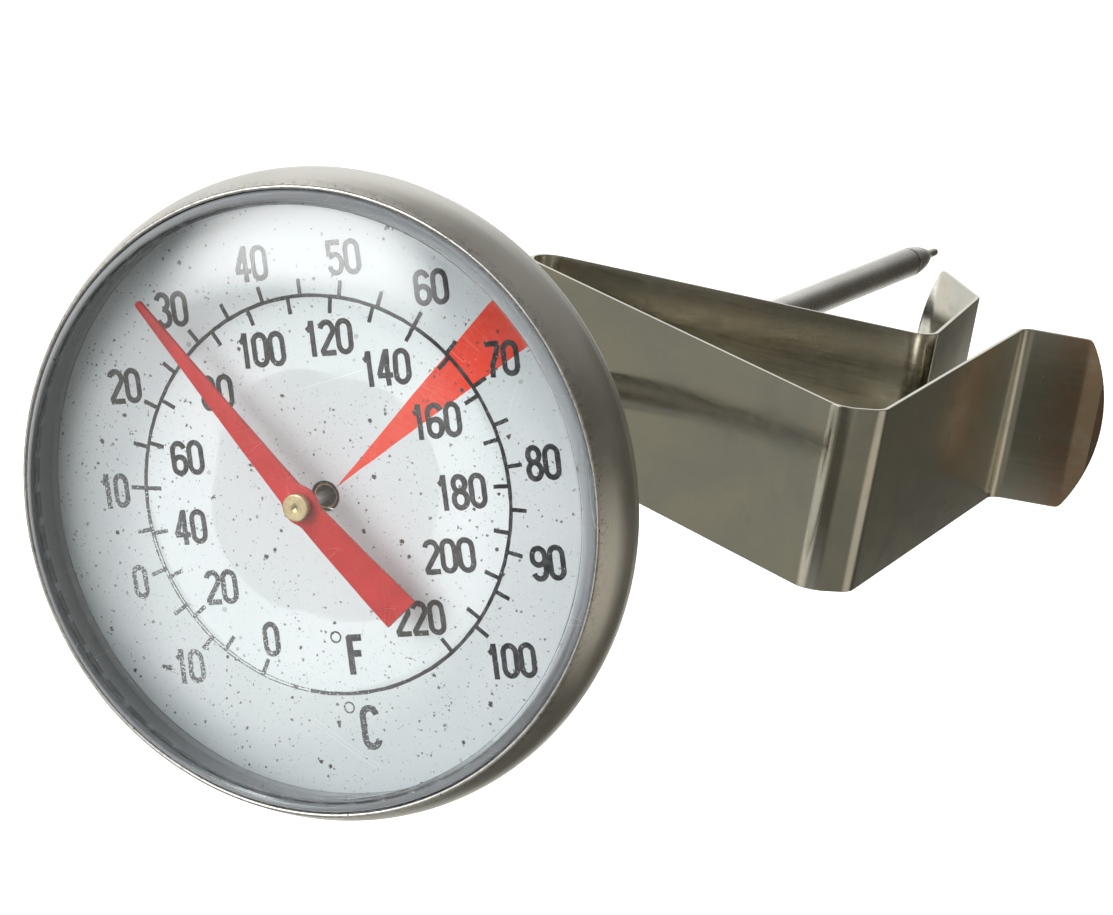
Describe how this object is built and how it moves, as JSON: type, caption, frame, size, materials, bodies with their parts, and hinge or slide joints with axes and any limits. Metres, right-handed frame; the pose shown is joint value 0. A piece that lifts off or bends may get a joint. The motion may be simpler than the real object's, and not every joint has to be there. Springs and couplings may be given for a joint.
{
  "type": "dial thermometer",
  "caption": "Round dial thermometer on a thin straight stem, with a red pointer behind a clear window and a folded spring clip that slides along the stem and hooks over a kettle rim.",
  "frame": {"origin": "centre of the flat middle of the lens's front, on the stem axis", "axes": "+Z along the stem towards whoever reads the dial, so the stem hangs down -Z; +X from the stem towards the clip's jaw"},
  "size_m": [0.083, 0.0696, 0.1994],
  "materials": {
    "stainless": "satin rolled stainless sheet and tube",
    "spring_steel": "polished spring steel strip",
    "brass": "turned brass",
    "bimetal": "dull two-layer strip",
    "clear_plastic": "clear moulded plastic",
    "dial_white": "satin white with printed scales",
    "pointer_red": "satin red",
    "rubber": "dark gasket",
    "fibre_washer": "red-brown fibre"
  },
  "bodies": {
    "clip": {"clip_front_arm": "spring_steel"},
    "clip_back": {"clip_back_arm": "spring_steel"},
    "stem": {"stem_tube": "stainless", "stem_tip": "stainless", "stem_collar": "brass", "friction_washer": "stainless", "hex_nut": "stainless", "upper_guide_bush": "brass", "middle_guide_bush": "brass", "lower_guide_bush": "brass", "coil_anchor": "brass", "bimetal_coil": "bimetal"},
    "head": {"case_cup": "stainless", "lens": "clear_plastic", "lens_gasket": "rubber", "dial_plate": "dial_white", "dial_support_ring": "stainless", "case_neck": "brass", "nut_washer": "fibre_washer"},
    "pointer": {"pointer": "pointer_red", "pointer_cap": "brass", "spindle": "stainless", "coil_collar": "brass"}
  },
  "joints": [
    {"name": "clip_flex", "type": "hinge", "parent": "clip", "child": "clip_back", "pos_m": [-0.01503, 0, -0.09222], "axis": [0, 1, 0], "range_deg": [-8, 6], "stiffness_Nm_per_rad": 1.5},
    {"name": "stem_slide", "type": "slide", "parent": "clip", "child": "stem", "axis": [0, 0, 1], "range_m": [-0.045, 0.095]},
    {"name": "calibration_turn", "type": "hinge", "parent": "stem", "child": "head", "pos_m": [0, 0, -0.0169], "axis": [0, 0, 1], "continuous": true},
    {"name": "pointer_turn", "type": "hinge", "parent": "stem", "child": "pointer", "pos_m": [0, 0, -0.0035], "axis": [0, 0, 1], "range_deg": [-170.4, 95.9], "stiffness_Nm_per_rad": 0.0001, "deforming": ["bimetal_coil"]}
  ]
}
